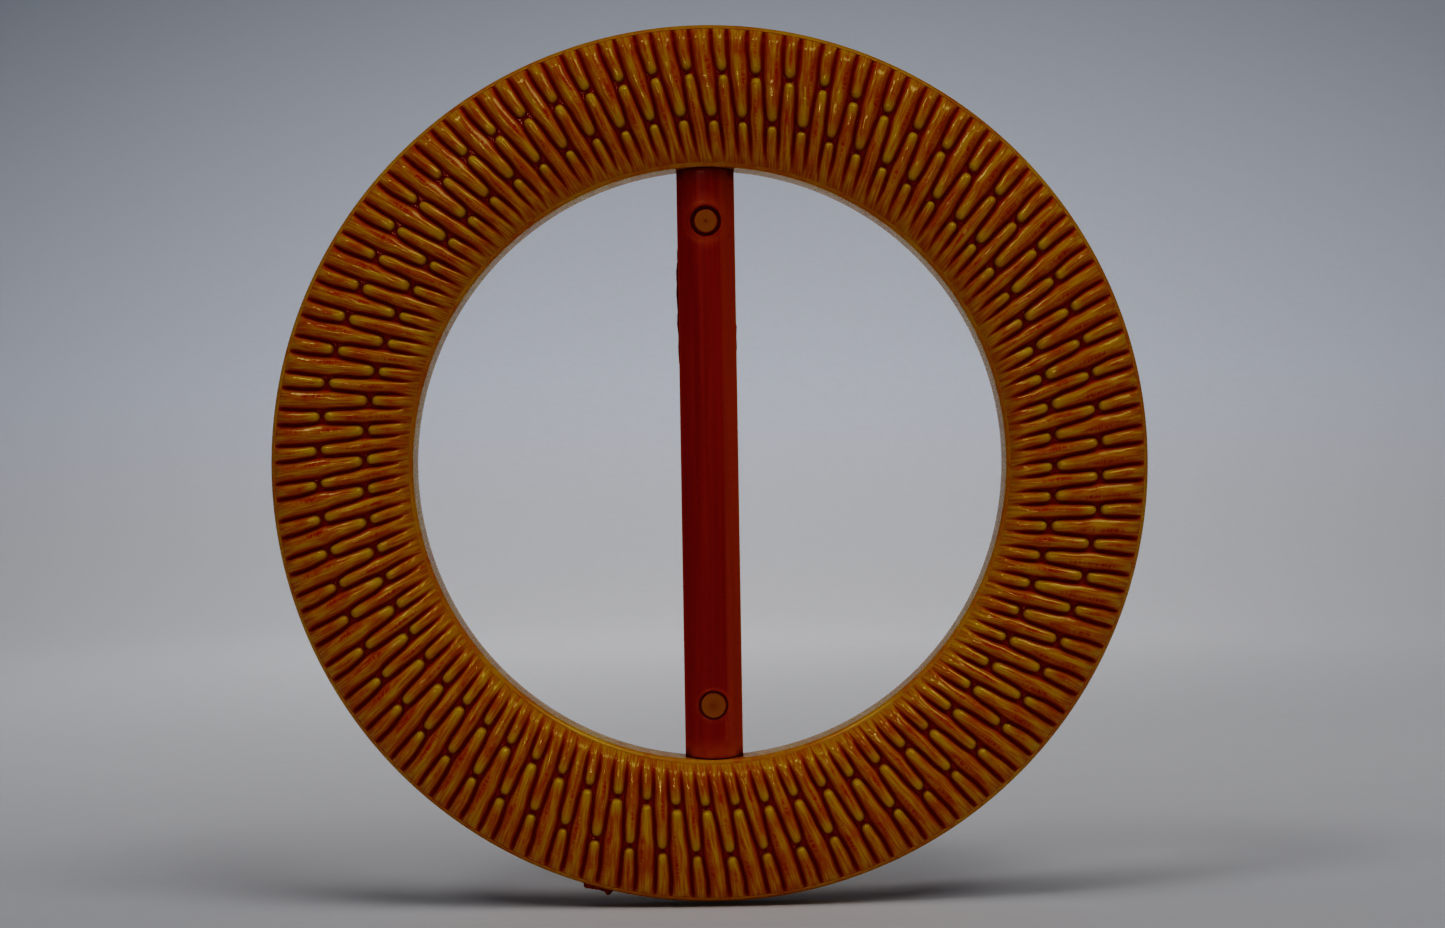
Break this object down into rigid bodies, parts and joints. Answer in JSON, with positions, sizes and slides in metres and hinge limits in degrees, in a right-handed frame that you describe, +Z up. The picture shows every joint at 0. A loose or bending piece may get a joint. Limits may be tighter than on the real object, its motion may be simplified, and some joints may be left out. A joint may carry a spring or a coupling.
{
  "type": "slide buckle",
  "caption": "Round slide buckle: a domed ring with woven-cane relief and a straight centre bar that a belt or scarf threads behind.",
  "frame": {"origin": "middle of the centre bar, on the ring's axis, half way through the rim's thickness", "axes": "+Z up along the centre bar, -Y out of the show face with the woven relief, +X to the right seen from the show face"},
  "size_m": [0.064, 0.004, 0.064],
  "materials": {
    "ring_plastic": "glossy translucent amber plastic",
    "cane_plastic": "glossy translucent amber plastic, redder along each cane's crest",
    "bar_plastic": "glossy translucent deep red-brown plastic",
    "trim_plastic": "thin torn edges of the same plastic"
  },
  "bodies": {
    "root": {"ring_frame": "ring_plastic", "short_outer_canes": "cane_plastic", "long_outer_canes": "cane_plastic", "short_inner_canes": "cane_plastic", "long_inner_canes": "cane_plastic", "center_bar": "bar_plastic", "gate_scar": "trim_plastic", "bar_flash": "trim_plastic"}
  },
  "joints": []
}
